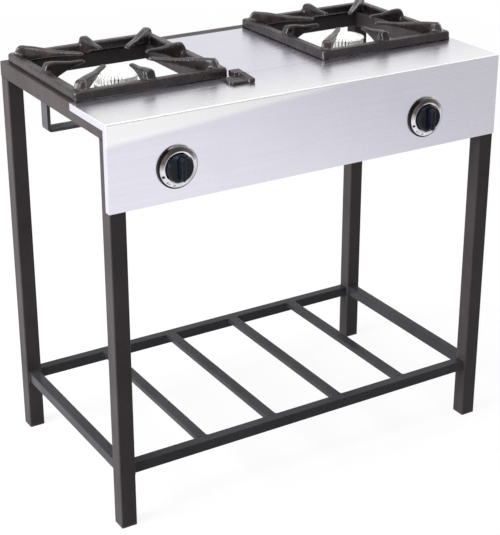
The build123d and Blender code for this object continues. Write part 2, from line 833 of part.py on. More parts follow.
def gas_pipe(tap_x, burner_x):
    """Bent pipe from the tap's nipple to the injector's."""
    start = nipple_end_y + seat_gap
    end = injector_end_y - seat_gap
    first_bend = nipple_end_y + pipe_nut_length - nipple_grip + gas_pipe_straight
    last_bend = injector_end_y - pipe_nut_length + nipple_grip - gas_pipe_straight
    route = FilletPolyline(
        (tap_x, start, knob_z), (tap_x, first_bend, knob_z), (burner_x, last_bend, tube_axis_z),
        (burner_x, end, tube_axis_z), radius=gas_pipe_bend)
    ring = Circle(gas_pipe_radius) - Circle(gas_pipe_radius - gas_pipe_wall)
    return sweep(Plane((tap_x, start, knob_z), z_dir=(0, 1, 0)) * ring, route)


for side, sign in side_sign.items():
    tap_place = Pos(knob_x[side], 0, knob_z)
    burner_x = sign * grate_x
    legs_x = sorted((sign * leg_x, sign * seat_x))
    bracket = drop_bracket(*legs_x)
    for bolt_sign in (-1, 1):
        bolt_place = Pos(burner_x + bolt_sign * burner_bolt_spacing / 2, burner_y, bracket_low)
        bracket -= bolt_place * drill(burner_bolt_radius + screw_gap, bracket_thick)
        burner_bolts.append(bolt_place * hex_bolt())
    parts[f"burner_bracket_{side}"] = bracket
    parts[f"burner_body_{side}"] = Pos(burner_x, burner_y, bracket_top) * burner_body()
    parts[f"burner_cap_{side}"] = Pos(burner_x, burner_y, burner_rim) * burner_cap()
    parts[f"mixing_tube_{side}"] = Pos(burner_x, bell_y, tube_axis_z) * TO_BACK * mixing_tube()
    shutter_y = bell_y - shutter_thick - seat_gap
    parts[f"air_shutter_{side}"] = Pos(burner_x, shutter_y, tube_axis_z) * TO_BACK * air_shutter()
    injectors.append(Pos(burner_x, injector_end_y, tube_axis_z) * TO_BACK * injector())
    parts[f"grate_{side}"] = Pos(burner_x, grate_y, grate_base) * grate()

    parts[f"valve_body_{side}"] = tap_place * valve_body()
    parts[f"valve_plug_{side}"] = tap_place * valve_plug()
    parts[f"valve_stem_{side}"] = tap_place * valve_stem()
    parts[f"dial_{side}"] = tap_place * dial()
    parts[f"knob_{side}"] = tap_place * knob()
    covers.append(tap_place * valve_cover())
    springs.append(tap_place * stem_spring())
    for screw_sign in (-1, 1):
        dial_screw = Pos(screw_sign * dial_screw_circle, panel_y - sheet, 0) * TO_BACK * screw()
        cover_screw = Pos(screw_sign * cover_screw_spacing / 2, cover_front_y, 0) * TO_BACK * screw()
        screws.extend((tap_place * dial_screw, tap_place * cover_screw))

    parts[f"gas_pipe_{side}"] = gas_pipe(knob_x[side], burner_x)
    tap_nut_y = nipple_end_y + pipe_nut_length - nipple_grip
    injector_nut_y = injector_end_y - pipe_nut_length + nipple_grip
    pipe_nuts.append(tap_place * pipe_nut(1, tap_nut_y))
    pipe_nuts.append(Pos(burner_x, 0, tube_axis_z) * pipe_nut(-1, injector_nut_y))

parts["valve_covers"] = Compound(children=covers)
parts["stem_springs"] = Compound(children=springs)
parts["pipe_nuts"] = Compound(children=pipe_nuts)
parts["injectors"] = Compound(children=injectors)
parts["burner_bolts"] = Compound(children=burner_bolts)
parts["small_screws"] = Compound(children=screws)

# ---------------------------------------------------------------- manifold

manifold_start_x = knob_x["left"] - manifold_overhang
manifold_end_x = overall_width / 2 - manifold_end_inset
manifold_length = manifold_end_x - manifold_start_x
bore_radius = manifold_radius - manifold_wall
manifold_start = Pos(manifold_start_x, manifold_y, manifold_z)
manifold_end = Pos(manifold_end_x, manifold_y, manifold_z)

pipe = manifold_start * TO_RIGHT * rod(manifold_radius, manifold_length)
for x in knob_x.values():
    pipe += Pos(x, manifold_y, manifold_z) * rod(boss_radius, boss_height)
pipe -= manifold_start * TO_RIGHT * drill(bore_radius, manifold_length)
for x in knob_x.values():
    seat = Pos(x, manifold_y, manifold_z + manifold_radius + tap_spigot_lift - seat_gap)
    pipe -= seat * rod(tap_spigot_radius + running_gap, boss_height)
    pipe -= Pos(x, manifold_y, manifold_z) * rod(tap_port_radius, boss_height)
parts["manifold"] = pipe

stopper = manifold_start * TO_LEFT * hexagon(end_plug_flats, end_plug_length)
stopper += manifold_start * TO_RIGHT * rod(bore_radius - running_gap, end_plug_depth)
parts["manifold_end_plug"] = stopper

# Elbow at the right end, its threaded mouth pointing back
corner = manifold_end * Pos(inlet_radius, 0, 0)
hex_length = inlet_thread_length + inlet_thread_floor
thread_y = inlet_reach - inlet_thread_length
elbow = manifold_end * TO_RIGHT * rod(inlet_radius, inlet_radius)
elbow += corner * Sphere(inlet_radius)
elbow += corner * TO_BACK * rod(inlet_radius, inlet_reach)
elbow += corner * Pos(0, inlet_reach - hex_length, 0) * TO_BACK * hexagon(inlet_flats, hex_length)
elbow += manifold_end * TO_LEFT * rod(bore_radius - running_gap, end_plug_depth)
elbow -= corner * Pos(0, thread_y, 0) * TO_BACK * rod(inlet_thread_radius, inlet_thread_length + past)
elbow -= corner * TO_BACK * rod(inlet_bore, inlet_reach)
elbow -= corner * TO_LEFT * rod(inlet_bore, inlet_radius + end_plug_depth + past)
parts["gas_inlet_elbow"] = elbow

bolt_rise = manifold_radius + u_bolt_radius + seat_gap
strip_low = manifold_z - bolt_rise - hanger_tail
strip_front_y = hanger_y - hanger_thick
hangers = []
u_bolts = []
nuts = []
for x in hanger_x.values():
    left_x = x - hanger_width / 2
    strip = block(left_x, left_x + hanger_width, strip_front_y, hanger_y, strip_low, rail_under)
    top_point = (x, manifold_y, manifold_z + bolt_rise)
    rear_point = (x, manifold_y + bolt_rise, manifold_z)
    low_point = (x, manifold_y, manifold_z - bolt_rise)
    bend = ThreePointArc(top_point, rear_point, low_point)
    u_bolt = sweep(Plane(top_point, z_dir=(0, 1, 0)) * Circle(u_bolt_radius), bend)
    for z in (manifold_z - bolt_rise, manifold_z + bolt_rise):
        strip -= Pos(x, strip_front_y, z) * TO_BACK * drill(u_bolt_radius + screw_gap, hanger_thick)
        tail = rod(u_bolt_radius, u_bolt_tail + manifold_radius)
        u_bolt += Pos(x, hanger_y - u_bolt_tail, z) * TO_BACK * tail
        nut = hexagon(nut_flats, nut_thick) - drill(u_bolt_radius + running_gap, nut_thick)
        nuts.append(Pos(x, strip_front_y, z) * TO_FRONT * nut)
    hangers.append(strip)
    u_bolts.append(u_bolt)
parts["manifold_hangers"] = Compound(children=hangers)
parts["manifold_u_bolts"] = Compound(children=u_bolts)
parts["manifold_nuts"] = Compound(children=nuts)

# ---------------------------------------------------------------- files

for name, shape in parts.items():
    export_step(shape, f"parts/{name}.step")
print(len(parts), "parts written")
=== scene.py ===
import bmesh
import bpy
import math
import random
from mathutils import Euler, Matrix, Vector


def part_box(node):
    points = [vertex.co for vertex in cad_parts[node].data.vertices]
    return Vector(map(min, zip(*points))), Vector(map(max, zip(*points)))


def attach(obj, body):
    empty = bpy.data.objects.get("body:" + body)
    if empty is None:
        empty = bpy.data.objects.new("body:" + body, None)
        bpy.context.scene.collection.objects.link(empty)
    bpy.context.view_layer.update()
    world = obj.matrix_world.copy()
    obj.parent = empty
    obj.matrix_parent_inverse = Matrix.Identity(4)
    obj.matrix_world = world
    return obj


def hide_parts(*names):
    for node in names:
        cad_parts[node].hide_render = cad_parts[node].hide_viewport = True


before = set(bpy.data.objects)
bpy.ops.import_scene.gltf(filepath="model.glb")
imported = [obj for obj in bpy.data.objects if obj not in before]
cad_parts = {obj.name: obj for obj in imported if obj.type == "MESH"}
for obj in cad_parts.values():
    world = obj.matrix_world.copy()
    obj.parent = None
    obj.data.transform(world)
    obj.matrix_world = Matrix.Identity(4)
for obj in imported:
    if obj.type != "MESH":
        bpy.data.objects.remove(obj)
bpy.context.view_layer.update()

# ------------------------------------------------------------------ the photograph's view
# A long lens from the front left, a little above the grates. The whole stand fills
# the picture from edge to edge, as it does in the photograph.

PICTURE_HEIGHT = 535
SENSOR = 36.0
focal_pixels = 1400.0
shift_pixels = -45.0
view_yaw = math.radians(31.24)
view_pitch = math.radians(22.24)
camera_place = (-1.289, -2.109, 1.440)

lens = bpy.data.cameras.new("lens")
lens.sensor_width = SENSOR
lens.lens = focal_pixels * SENSOR / PICTURE_HEIGHT
lens.shift_y = shift_pixels / PICTURE_HEIGHT
camera = bpy.data.objects.new("camera", lens)
camera.location = camera_place
camera.rotation_euler = Euler((math.pi / 2 - view_pitch, 0, -view_yaw))
bpy.context.collection.objects.link(camera)
bpy.context.scene.camera = camera
bpy.context.scene.view_settings.view_transform = "Standard"

# ------------------------------------------------------------------ studio floor
# A pale matt floor that keeps a faint shadow, which fades out away from the stand. A
# greyer card lies in front at the right, and only bright metal shows it.

floor_half = 30.0
floor_seen = 1.0
floor_bounce = 0.36
shadow_share = 0.12
shadow_fades = (1.2, 4.0)
card_left_edge = (0.7, 1.5)
card_rear_edge = (-0.7, -1.3)
card_grey = 0.36


def wiring(tree):
    """Adds nodes to a tree: inputs are numbers, colours or another node's output."""
    def add(kind, inputs=None, **settings):
        node = tree.nodes.new("ShaderNode" + kind)
        for setting, value in settings.items():
            setattr(node, setting, value)
        for socket, value in (inputs or {}).items():
            if isinstance(value, bpy.types.NodeSocket):
                tree.links.new(value, node.inputs[socket])
            else:
                node.inputs[socket].default_value = value
        return node
    return add


def combined(add, how, first, second):
    """Two values brought together by a sum, a product or the like."""
    return add("Math", {0: first, 1: second}, operation=how).outputs[0]


def times(add, first, second):
    return combined(add, "MULTIPLY", first, second)


def level(add, value, low, high, out_low=0.0, out_high=1.0, curve="LINEAR"):
    """Value brought from one range to another and held there."""
    inputs = {"Value": value, "From Min": low, "From Max": high, "To Min": out_low, "To Max": out_high}
    return add("MapRange", inputs, interpolation_type=curve).outputs["Result"]


def own_place(add):
    """Place on a piece, in metres along the stand's own axes."""
    return add("TexCoord").outputs["Object"]


def parted(add, place):
    """The X, Y and Z of a place."""
    return add("SeparateXYZ", {"Vector": place}).outputs


def seen_directly(add):
    """1 for what the camera, a mirror or a clear piece sees, 0 for light that falls on things."""
    path = add("LightPath").outputs
    camera_or_mirror = combined(add, "MAXIMUM", path["Is Camera Ray"], path["Is Glossy Ray"])
    return combined(add, "MAXIMUM", camera_or_mirror, path["Is Transmission Ray"])


floor_finish = bpy.data.materials.new("floor_paint")
floor_finish.use_nodes = True
floor_finish.node_tree.nodes.clear()
add = wiring(floor_finish.node_tree)
matt = add("BsdfDiffuse", {"Color": level(add, seen_directly(add), 0.0, 1.0, floor_bounce, floor_seen)})
spot = parted(add, own_place(add))
card_x = level(add, spot["X"], *card_left_edge, 0.0, card_grey, "SMOOTHSTEP")
card_y = level(add, spot["Y"], *card_rear_edge, 0.0, 1.0, "SMOOTHSTEP")
in_gloss = add("LightPath").outputs["Is Glossy Ray"]
dimmed = times(add, times(add, card_x, card_y), in_gloss)
glow = add("Emission", {"Color": (1, 1, 1, 1), "Strength": combined(add, "SUBTRACT", 1.0, dimmed)})
away = add("VectorMath", {0: own_place(add)}, operation="LENGTH").outputs["Value"]
lit = level(add, away, *shadow_fades, 1 - shadow_share, 1.0, "SMOOTHSTEP")
glow_share = times(add, seen_directly(add), lit)
floor_mix = add("MixShader", {0: glow_share, 1: matt.outputs[0], 2: glow.outputs[0]})
add("OutputMaterial", {"Surface": floor_mix.outputs[0]})

floor_mesh = bpy.data.meshes.new("floor")
corners = [(x * floor_half, y * floor_half, 0) for x, y in ((-1, -1), (1, -1), (1, 1), (-1, 1))]
floor_mesh.from_pydata(corners, [], [(0, 1, 2, 3)])
floor_mesh.materials.append(floor_finish)
floor = bpy.data.objects.new("floor", floor_mesh)
bpy.context.collection.objects.link(floor)

# ------------------------------------------------------------------ studio room
# White walls under a greyer ceiling that comes down lower in front than behind, which
# gives bright metal something to show. The room throws only a low, even light.

room_light = 0.19
room_tint = (0.98, 0.98, 1, 1)
walls_turn_grey = (0.05, 0.30)
wall_tone = 0.84
ceiling_begins = (0.28, 0.56)
ceiling_tone = 0.42
front_to_rear = (-0.3, 0.3)
ceiling_rise = 0.30

world = bpy.data.worlds.new("studio")
world.use_nodes = True
world.node_tree.nodes.clear()
add = wiring(world.node_tree)
toward = parted(add, add("TexCoord").outputs["Generated"])
risen = level(add, toward["Y"], *front_to_rear, 0.0, ceiling_rise)
height = combined(add, "SUBTRACT", toward["Z"], risen)
ceiling = level(add, height, *ceiling_begins, 1.0, ceiling_tone, "SMOOTHSTEP")
walls = level(add, toward["Z"], *walls_turn_grey, 1.0, wall_tone)
in_camera = add("LightPath").outputs["Is Camera Ray"]
room_seen = combined(add, "MAXIMUM", times(add, walls, ceiling), in_camera)
white_room = add("Background", {"Color": (1, 1, 1, 1), "Strength": room_seen})
soft_room = add("Background", {"Color": room_tint, "Strength": room_light})
room_mix = add("MixShader", {0: seen_directly(add), 1: soft_room.outputs[0], 2: white_room.outputs[0]})
add("OutputWorld", {"Surface": room_mix.outputs[0]})
bpy.context.scene.world = world

# ------------------------------------------------------------------ studio lamps
# Three square soft boxes: the key at the left, a weaker one overhead and the weakest at
# the right. Each has its place, its aim, its width in metres and its power in watts.

LAMPS = {
    "key_lamp": ((-3.2, 0.1, 1.7), (0, 0, 0.4), 2.2, 205.0),
    "top_lamp": ((-0.3, -0.2, 3.2), (0, 0, 0.6), 2.4, 62.0),
    "fill_lamp": ((3.3, 0.7, 2.1), (0, 0, 0.4), 2.2, 34.0),
}
for name, (place, aim, width, power) in LAMPS.items():
    lamp_data = bpy.data.lights.new(name, "AREA")
    lamp_data.shape = "SQUARE"
    lamp_data.size = width
    lamp_data.energy = power
    lamp = bpy.data.objects.new(name, lamp_data)
    lamp.location = place
    lamp.rotation_euler = (Vector(aim) - Vector(place)).to_track_quat("-Z", "Y").to_euler()
    bpy.context.collection.objects.link(lamp)

# ------------------------------------------------------------------ welded stand
# Legs, top rails and seat rails of square steel tube, mitred at the top corners, welded
# and then sprayed with a dark enamel that shows a fine orange peel.

MM = 0.001
BOTH_SIDES = {"left": -1, "right": 1}
stand_grey = (66, 60, 61)
stand_worn = (132, 126, 132)
worn_edge = 1.1 * MM
orange_peel = 0.04 * MM
paint_sag = 0.10 * MM
thin_share = 0.72
scuff_dulling = 0.24
flat_cosine = 0.998
edge_cosine = 0.88


def shade(red, green, blue):
    """Colour as the eye sees it, 0 to 255, turned into the linear colour of a surface."""
    levels = [c / 255 for c in (red, green, blue)]
    return (*[c / 12.92 if c < 0.04 else ((c + 0.055) / 1.055) ** 2.4 for c in levels], 1)


def new_finish(name):
    """New material with its node wiring and its shader."""
    finish = bpy.data.materials.new(name)
    finish.use_nodes = True
    return finish, wiring(finish.node_tree), finish.node_tree.nodes["Principled BSDF"]


def plug_in(shader, sockets):
    """Feeds the shader: outputs are linked, and numbers and colours are set on its own sockets."""
    for socket, value in sockets.items():
        if isinstance(value, bpy.types.NodeSocket):
            shader.id_data.links.new(value, shader.inputs[socket])
        else:
            shader.inputs[socket].default_value = value


def stretched(add, x, y, z):
    """Place on the piece, in grains per metre along each axis."""
    mapping = add("Mapping", {"Vector": own_place(add)})
    mapping.inputs["Scale"].default_value = (x, y, z)
    return mapping.outputs[0]


def grain(add, x, y=None, z=None, detail=3.0, rough=0.55):
    """Soft noise from 0 to 1, given in grains per metre."""
    place = stretched(add, x, x if y is None else y, x if z is None else z)
    noise = add("TexNoise", {"Vector": place, "Scale": 1.0, "Detail": detail, "Roughness": rough})
    return noise.outputs["Fac"]


def tinted(add, share, first, second):
    """First colour, turning to the second as share goes from 0 to 1."""
    mixed = add("Mix", {"Factor": share, 6: first, 7: second}, data_type="RGBA")
    return mixed.outputs[2]


def relief(add, height, depth, under=None):
    """Bump of a height in metres, over the relief given as under."""
    bump = add("Bump", {"Height": height, "Distance": depth, "Strength": 1.0})
    if under is not None:
        bump.id_data.links.new(under, bump.inputs["Normal"])
    return bump.outputs[0]


def sharp_edges(add, radius):
    """1 along the sharp edges of a piece and 0 on its faces."""
    rounded = add("Bevel", {"Radius": radius}, samples=6).outputs[0]
    flat = add("NewGeometry").outputs["Normal"]
    facing = add("VectorMath", {0: rounded, 1: flat}, operation="DOT_PRODUCT")
    return level(add, facing.outputs["Value"], flat_cosine, edge_cosine)


def enamel(name, colour, worn, smoothest, shine):
    """Sprayed enamel: orange peel, cloudy tone, thin on the edges, with dust nibs and dull scuffs."""
    finish, add, shader = new_finish(name)
    thin = tuple(c * thin_share for c in colour[:3]) + (1,)
    base = tinted(add, level(add, grain(add, 9, detail=4), 0.35, 0.65), thin, colour)
    chips = level(add, grain(add, 160, detail=2), 0.42, 0.62)
    chipped = times(add, sharp_edges(add, worn_edge), chips)
    base = tinted(add, times(add, chipped, 0.7), base, worn)
    nibs = times(add, level(add, grain(add, 420, detail=2), 0.60, 0.78), 0.16)
    scuffs = grain(add, 26, 26, 5, detail=5, rough=0.7)
    sags = relief(add, grain(add, 60, 60, 18, detail=2), paint_sag)
    plug_in(shader, {
        "Base Color": tinted(add, nibs, base, worn),
        "Roughness": level(add, scuffs, 0.3, 0.75, smoothest, smoothest + scuff_dulling),
        "Specular IOR Level": shine,
        "Normal": relief(add, grain(add, 700, detail=1.5), orange_peel, sags),
    })
    return finish


def coat(finish, *node_names):
    """Gives pieces of the frame their finish."""
    for node_name in node_names:
        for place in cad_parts[node_name].material_slots:
            place.material = finish


stand_paint = enamel("stand_paint", shade(*stand_grey), shade(*stand_worn), 0.34, 0.14)
coat(stand_paint, *[f"leg_{end}_{side}" for end in ("front", "rear") for side in BOTH_SIDES])
coat(stand_paint, *[f"top_rail_{place}" for place in ("front", "rear", "left", "right")])
coat(stand_paint, *[f"seat_rail_{place}" for place in ("front", "left", "right")])

# ------------------------------------------------------------------ weld beads
# Rippled fillets of weld metal round the end of each tube and strip, laid by hand and
# painted over with the stand.

bead_radius = 1.7 * MM
bead_step = 1.2 * MM
bead_ripple = 2.6 * MM
bead_wave = 0.16
bead_unevenness = 0.07
bead_overhang = 0.35
bead_stop = 0.8
bead_sides = 8
bead_hand = random.Random(7)

X, Y, Z = Vector((1, 0, 0)), Vector((0, 1, 0)), Vector((0, 0, 1))
AXES = {"x": (0, Y, Z), "y": (1, X, Z), "z": (2, X, Y)}
ALL_ROUND = ((-1, -1), (1, -1), (1, 1), (-1, 1), (-1, -1))
NOT_ON_TOP = ((-1, bead_stop), (-1, -1), (1, -1), (1, bead_stop))
SHELF_BARS = range(1, 5)


def skinned(surface, rings, closed=False):
    """Faces between rings of points that have the same number of corners."""
    made = [[surface.verts.new(point) for point in ring] for ring in rings]
    pairs = list(zip(made, made[1:])) + ([(made[-1], made[0])] if closed else [])
    for first, second in pairs:
        for number in range(len(first)):
            after = (number + 1) % len(first)
            surface.faces.new((first[number], first[after], second[after], second[number]))
    if not closed:
        surface.faces.new(made[0])
        surface.faces.new(made[-1])


def weld_bead(surface, centre, across, along, half_across, half_along, route):
    """Bead along the edge of a rectangle, from corner to corner of the route, added to a bmesh."""
    overhang = bead_overhang * bead_radius
    a, b = half_across + overhang, half_along + overhang
    corners = [centre + across * x * a + along * y * b for x, y in route]
    path = []
    for start, end in zip(corners, corners[1:]):
        steps = max(2, round((end - start).length / bead_step))
        path += [start.lerp(end, step / steps) for step in range(steps)]
    path.append(corners[-1])
    face = across.cross(along)
    turns = [2 * math.pi * side / bead_sides for side in range(bead_sides)]
    rings = []
    for number, point in enumerate(path):
        outward = (point - centre).normalized()
        wave = bead_wave * math.sin(2 * math.pi * number * bead_step / bead_ripple)
        radius = bead_radius * (1 + wave + bead_hand.uniform(-bead_unevenness, bead_unevenness))
        rings.append([point + (outward * math.cos(turn) + face * math.sin(turn)) * radius for turn in turns])
    skinned(surface, rings)


def corners_of(node_name):
    """Lowest and highest corner of a piece of the frame."""
    return [Vector(corner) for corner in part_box(node_name)]


def weld_end(surface, node_name, axis, end, route=ALL_ROUND):
    """Bead round one end of a straight bar: axis is its direction, end is 0 for low and 1 for high."""
    low, high = corners_of(node_name)
    number, across, along = AXES[axis]
    centre = (low + high) / 2
    centre[number] = (low, high)[end][number]
    half = (high - low) / 2
    weld_bead(surface, centre, across, along, half.dot(across), half.dot(along), route)


def finished_mesh(name, surface):
    """Turns a bmesh into a smooth mesh with outward faces."""
    bmesh.ops.recalc_face_normals(surface, faces=surface.faces)
    mesh = bpy.data.meshes.new(name)
    surface.to_mesh(mesh)
    surface.free()
    mesh.polygons.foreach_set("use_smooth", [True] * len(mesh.polygons))
    return mesh


def new_piece(name, mesh, finish, body):
    """Puts a made piece into the scene, riding on its body."""
    mesh.materials.clear()
    mesh.materials.append(finish)
    piece = bpy.data.objects.new(name, mesh)
    bpy.context.collection.objects.link(piece)
    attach(piece, body)
    return piece


beads = bmesh.new()
for end in (0, 1):
    weld_end(beads, "shelf_rail_front", "x", end)
    weld_end(beads, "shelf_rail_rear", "x", end)
    weld_end(beads, "seat_rail_front", "x", end, NOT_ON_TOP)
    for side in BOTH_SIDES:
        weld_end(beads, f"shelf_rail_{side}", "y", end)
        weld_end(beads, f"seat_rail_{side}", "y", end, NOT_ON_TOP)
    for number in SHELF_BARS:
        weld_end(beads, f"shelf_bar_{number}", "y", end, NOT_ON_TOP)
for end, inward_y in (("front", 1), ("rear", -1)):
    for side, sign in BOTH_SIDES.items():
        inner_corner = ((-sign, -bead_stop * inward_y), (-sign, inward_y), (bead_stop * sign, inward_y))
        weld_end(beads, f"leg_{end}_{side}", "z", 1, inner_corner)
new_piece("weld_beads", finished_mesh("weld_beads", beads), stand_paint, "root")

# ------------------------------------------------------------------ leg end plugs
# Black plastic plugs pressed into the open ends of the legs, scuffed grey where they
# have been dragged over a floor.

scuffed_below = 0.4 * MM
clean_above = 2.4 * MM
plug_skin = 0.05 * MM

plug_plastic, add, shader = new_finish("plug_plastic")
low_down = level(add, parted(add, own_place(add))["Z"], clean_above, scuffed_below)
scuffed = times(add, low_down, level(add, grain(add, 300), 0.35, 0.6))
plug_in(shader, {
    "Base Color": tinted(add, scuffed, shade(34, 33, 35), shade(96, 95, 96)),
    "Roughness": level(add, grain(add, 90, detail=4), 0.3, 0.7, 0.45, 0.66),
    "Normal": relief(add, grain(add, 1100, detail=2), plug_skin),
})
coat(plug_plastic, "leg_end_plugs")

# ------------------------------------------------------------------ low shelf
# Small square rails between the legs and four flat slats, welded and sprayed with the
# stand. Pots slide over it, so it is polished smoother and shines a little bluer.

shelf_grey = (56, 56, 61)
shelf_worn = (112, 115, 124)

shelf_paint = enamel("shelf_paint", shade(*shelf_grey), shade(*shelf_worn), 0.13, 0.12)
coat(shelf_paint, *[f"shelf_rail_{place}" for place in ("front", "rear", "left", "right")])
coat(shelf_paint, *[f"shelf_bar_{number}" for number in SHELF_BARS])

# ------------------------------------------------------------------ drop brackets, hangers and cleats
# Flat steel bent to a U under each burner, strips that hold the gas pipe and small
# angles for the panel, all welded to the stand and painted a little paler than it.

bracket_grey = (84, 81, 86)
bracket_worn = (150, 148, 156)

bracket_paint = enamel("bracket_paint", shade(*bracket_grey), shade(*bracket_worn), 0.40, 0.20)
coat(bracket_paint, *[f"burner_bracket_{side}" for side in BOTH_SIDES], "manifold_hangers", "panel_cleats")

# ------------------------------------------------------------------ gas pipe, bolts and screws
# The pipe across the stand that feeds both taps, its end plug, U-bolts and nuts, and all
# the bolts and screws. Zinc-plated steel, with a cloudy bluish silver spangle and faint
# yellow patches, dulled where spanners and threads have rubbed it.

zinc_worn_edge = 0.6 * MM
zinc_skin = 0.04 * MM

zinc_plate, add, shader = new_finish("zinc_plate")
spangle = add("TexVoronoi", {"Vector": stretched(add, 260, 260, 260), "Scale": 1.0}, feature="F1")
flake = add("SeparateColor", {"Color": spangle.outputs["Color"]}).outputs["Red"]
zinc = tinted(add, flake, shade(168, 171, 176), shade(190, 193, 198))
yellowed = times(add, level(add, grain(add, 24, detail=4), 0.52, 0.7), 0.5)
zinc = tinted(add, yellowed, zinc, shade(196, 186, 150))
zinc = tinted(add, times(add, sharp_edges(add, zinc_worn_edge), 0.6), zinc, shade(120, 120, 122))
plug_in(shader, {
    "Base Color": zinc,
    "Metallic": 1.0,
    "Roughness": level(add, grain(add, 130, detail=4), 0.3, 0.7, 0.30, 0.52),
    "Normal": relief(add, grain(add, 600, detail=3), zinc_skin),
})
coat(zinc_plate, "manifold", "manifold_end_plug", "manifold_u_bolts", "manifold_nuts")
coat(zinc_plate, "burner_bolts", "small_screws")

# ------------------------------------------------------------------ taps, injectors and inlet elbow
# Turned and hot-pressed brass that carries the gas: fine turning lines, brown tarnish in
# patches and brighter metal on the worn edges.

brass_worn_edge = 0.7 * MM
turning_depth = 0.02 * MM

brass, add, shader = new_finish("brass")
tarnish = level(add, grain(add, 60, detail=5, rough=0.65), 0.38, 0.68)
yellow = tinted(add, tarnish, shade(196, 160, 88), shade(146, 108, 52))
yellow = tinted(add, times(add, sharp_edges(add, brass_worn_edge), 0.8), yellow, shade(226, 198, 130))
turning_lines = grain(add, 160, 2600, 160, detail=1)
plug_in(shader, {
    "Base Color": yellow,
    "Metallic": 1.0,
    "Roughness": level(add, tarnish, 0.0, 1.0, 0.24, 0.46),
    "Normal": relief(add, turning_lines, turning_depth),
})
coat(brass, "injectors", "pipe_nuts", "gas_inlet_elbow")
coat(brass, *[f"valve_{piece}_{side}" for piece in ("body", "plug") for side in BOTH_SIDES])

# ------------------------------------------------------------------ tap covers
# Front plates of the taps, each with a neck that holds the stem and its spring: die-cast
# in zinc, left grey as they came from the die and held by two screws.

die_skin = 0.05 * MM

die_cast, add, shader = new_finish("die_cast_zinc")
cloudy = level(add, grain(add, 70, detail=5), 0.35, 0.7)
plug_in(shader, {
    "Base Color": tinted(add, cloudy, shade(150, 152, 155), shade(176, 178, 182)),
    "Metallic": 0.9,
    "Roughness": level(add, grain(add, 220, detail=4), 0.3, 0.7, 0.42, 0.6),
    "Normal": relief(add, grain(add, 900, detail=2), die_skin),
})
coat(die_cast, "valve_covers")

# ------------------------------------------------------------------ tap stems and springs
# Each stem takes its knob's turn to the tap's plug, inside the spring that pushes it
# back out. Both are bright drawn steel with a film of grease.

stem_line_depth = 0.01 * MM

bright_steel, add, shader = new_finish("bright_steel")
greasy = level(add, grain(add, 140, detail=4), 0.45, 0.7)
plug_in(shader, {
    "Base Color": tinted(add, greasy, shade(196, 198, 202), shade(150, 146, 136)),
    "Metallic": 1.0,
    "Roughness": level(add, greasy, 0.0, 1.0, 0.18, 0.36),
    "Normal": relief(add, grain(add, 200, 3000, 200, detail=1), stem_line_depth),
})
coat(bright_steel, *[f"valve_stem_{side}" for side in BOTH_SIDES], "stem_springs")

# ------------------------------------------------------------------ bent gas pipes
# Soft aluminium pipe from each tap to its burner, drawn, then bent by hand: long draw
# lines, dull oxide and a few brighter rubs.

draw_line_depth = 0.03 * MM

pipe_metal, add, shader = new_finish("drawn_aluminium")
dull = level(add, grain(add, 45, detail=5), 0.35, 0.7)
plug_in(shader, {
    "Base Color": tinted(add, dull, shade(206, 207, 210), shade(168, 170, 174)),
    "Metallic": 1.0,
    "Roughness": level(add, dull, 0.0, 1.0, 0.30, 0.50),
    "Normal": relief(add, grain(add, 900, 40, 900, detail=2), draw_line_depth),
})
coat(pipe_metal, *[f"gas_pipe_{side}" for side in BOTH_SIDES])

# ------------------------------------------------------------------ burner bowls
# Round bowls of sand-cast aluminium with a pebbly skin, bolted to the drop brackets.
# Each takes its mixing tube from the front.

bowl_skin = 0.10 * MM
cast_worn_edge = 0.9 * MM


def sand_cast(name, bright, dark, skin, metallic):
    """Sand-cast metal: pebbly skin, soot in the hollows and brighter rubbed edges."""
    finish, add, shader = new_finish(name)
    pits = add("TexVoronoi", {"Vector": stretched(add, 700, 700, 700), "Scale": 1.0}, feature="SMOOTH_F1")
    pebbles = pits.outputs["Distance"]
    base = tinted(add, level(add, grain(add, 30, detail=5), 0.35, 0.7), bright, dark)
    base = tinted(add, times(add, level(add, pebbles, 0.35, 0.8), 0.35), base, dark)
    base = tinted(add, times(add, sharp_edges(add, cast_worn_edge), 0.5), base, bright)
    plug_in(shader, {
        "Base Color": base,
        "Metallic": metallic,
        "Roughness": level(add, grain(add, 90, detail=4), 0.3, 0.7, 0.44, 0.62),
        "Normal": relief(add, pebbles, skin, relief(add, grain(add, 120, detail=3), 3 * skin)),
    })
    return finish


bowl_metal = sand_cast("bowl_aluminium", shade(186, 187, 190), shade(140, 140, 142), bowl_skin, 0.85)
coat(bowl_metal, *[f"burner_body_{side}" for side in BOTH_SIDES])

# ------------------------------------------------------------------ mixing tubes and air shutters
# Plain steel tubes that carry gas and air to the bowls, each with a shutter that turns on
# it to set the air. The flame's heat has tinted them straw brown near the bowl.

heat_begins = -20 * MM
heat_full = 30 * MM
tube_skin = 0.05 * MM

tube_steel, add, shader = new_finish("heat_tinted_steel")
hot = level(add, parted(add, own_place(add))["Y"], heat_begins, heat_full)
cloudy = level(add, grain(add, 50, detail=5), 0.35, 0.7)
steel = tinted(add, cloudy, shade(168, 168, 170), shade(140, 139, 140))
straw = times(add, hot, level(add, grain(add, 30, detail=3), 0.3, 0.6))
plug_in(shader, {
    "Base Color": tinted(add, straw, steel, shade(158, 128, 92)),
    "Metallic": 1.0,
    "Roughness": level(add, grain(add, 110, detail=4), 0.3, 0.7, 0.34, 0.54),
    "Normal": relief(add, grain(add, 500, detail=3), tube_skin),
})
coat(tube_steel, *[f"{piece}_{side}" for piece in ("mixing_tube", "air_shutter") for side in BOTH_SIDES])

# ------------------------------------------------------------------ burner caps
# Slotted crowns of a pale cast alloy, almost white. They sit loose on the bowls and lift
# off for cleaning.

cap_skin = 0.05 * MM

